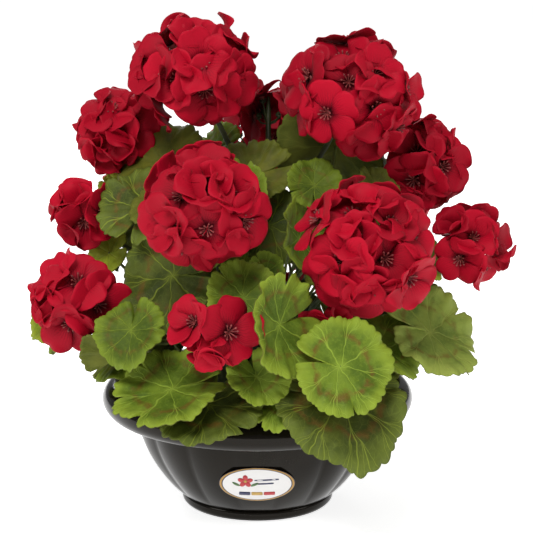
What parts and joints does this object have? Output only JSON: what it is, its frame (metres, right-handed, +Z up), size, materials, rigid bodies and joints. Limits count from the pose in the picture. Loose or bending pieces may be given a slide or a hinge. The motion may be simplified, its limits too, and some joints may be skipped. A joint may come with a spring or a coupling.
{
  "type": "potted geraniums",
  "caption": "Bushy zonal geranium plants with dense round heads of deep red flowers and scalloped, zoned green leaves, standing in a glossy black footed bowl with a rolled rim.",
  "frame": {"origin": "centre of the underside of the bowl's foot, on the surface it stands on", "axes": "+Z up; -Y towards the front, where the oval label is; +X to the right seen from the front"},
  "size_m": [0.3781, 0.3764, 0.396],
  "materials": {
    "bowl": "deep black, high gloss, soft flutes",
    "label": "printed white film sticker with a gold and navy border",
    "soil": "dark brown crumbly compost, matte",
    "stems": "dark green, satin, slightly ribbed",
    "leaves": "matte cloth leaf, light veins, yellow-green edge and a faint brown ring",
    "petals": "deep red cloth petals, matte with a faint sheen and darker veins"
  },
  "bodies": {
    "root": {"bowl": "bowl", "flower_head_back_left": "petals", "flower_head_back_low": "petals", "flower_head_back_right": "petals", "flower_head_back_top": "petals", "flower_head_centre_left": "petals", "flower_head_centre_right": "petals", "flower_head_far_right": "petals", "flower_head_low_left": "petals", "flower_head_low_middle": "petals", "flower_head_low_right": "petals", "flower_head_middle_left": "petals", "flower_head_top_left": "petals", "flower_head_top_middle": "petals", "flower_head_top_right": "petals", "flower_head_upper_left": "petals", "flower_head_upper_right": "petals", "label": "label", "leaf_back_rim": "leaves", "leaf_back_rim_left": "leaves", "leaf_back_rim_right": "leaves", "leaf_back_upper": "leaves", "leaf_behind_far_right": "leaves", "leaf_behind_low_head": "leaves", "leaf_bright_right": "leaves", "leaf_centre_upright": "leaves", "leaf_dark_left": "leaves", "leaf_dark_upper_left": "leaves", "leaf_edge_on_right": "leaves", "leaf_far_left": "leaves", "leaf_flat_front": "leaves", "leaf_folded_front": "leaves", "leaf_front_right": "leaves", "leaf_inner_green": "leaves", "leaf_inner_left": "leaves", "leaf_light_mid_left": "leaves", "leaf_light_right": "leaves", "leaf_light_tip_left": "leaves", "leaf_low_left": "leaves", "leaf_low_middle": "leaves", "leaf_olive_top": "leaves", "leaf_olive_top_right": "leaves", "leaf_olive_upper_left": "leaves", "leaf_right_under_head": "leaves", "leaf_rim_far_left": "leaves", "leaf_rim_far_right": "leaves", "leaf_rim_left": "leaves", "leaf_rim_middle": "leaves", "leaf_rim_right": "leaves", "leaf_side_left": "leaves", "leaf_side_right": "leaves", "leaf_small_centre": "leaves", "leaf_top_behind": "leaves", "leaf_twisted_left": "leaves", "soil": "soil", "stems_back_left": "stems", "stems_back_right": "stems", "stems_front_left": "stems", "stems_front_right": "stems", "stems_middle": "stems"}
  },
  "joints": []
}
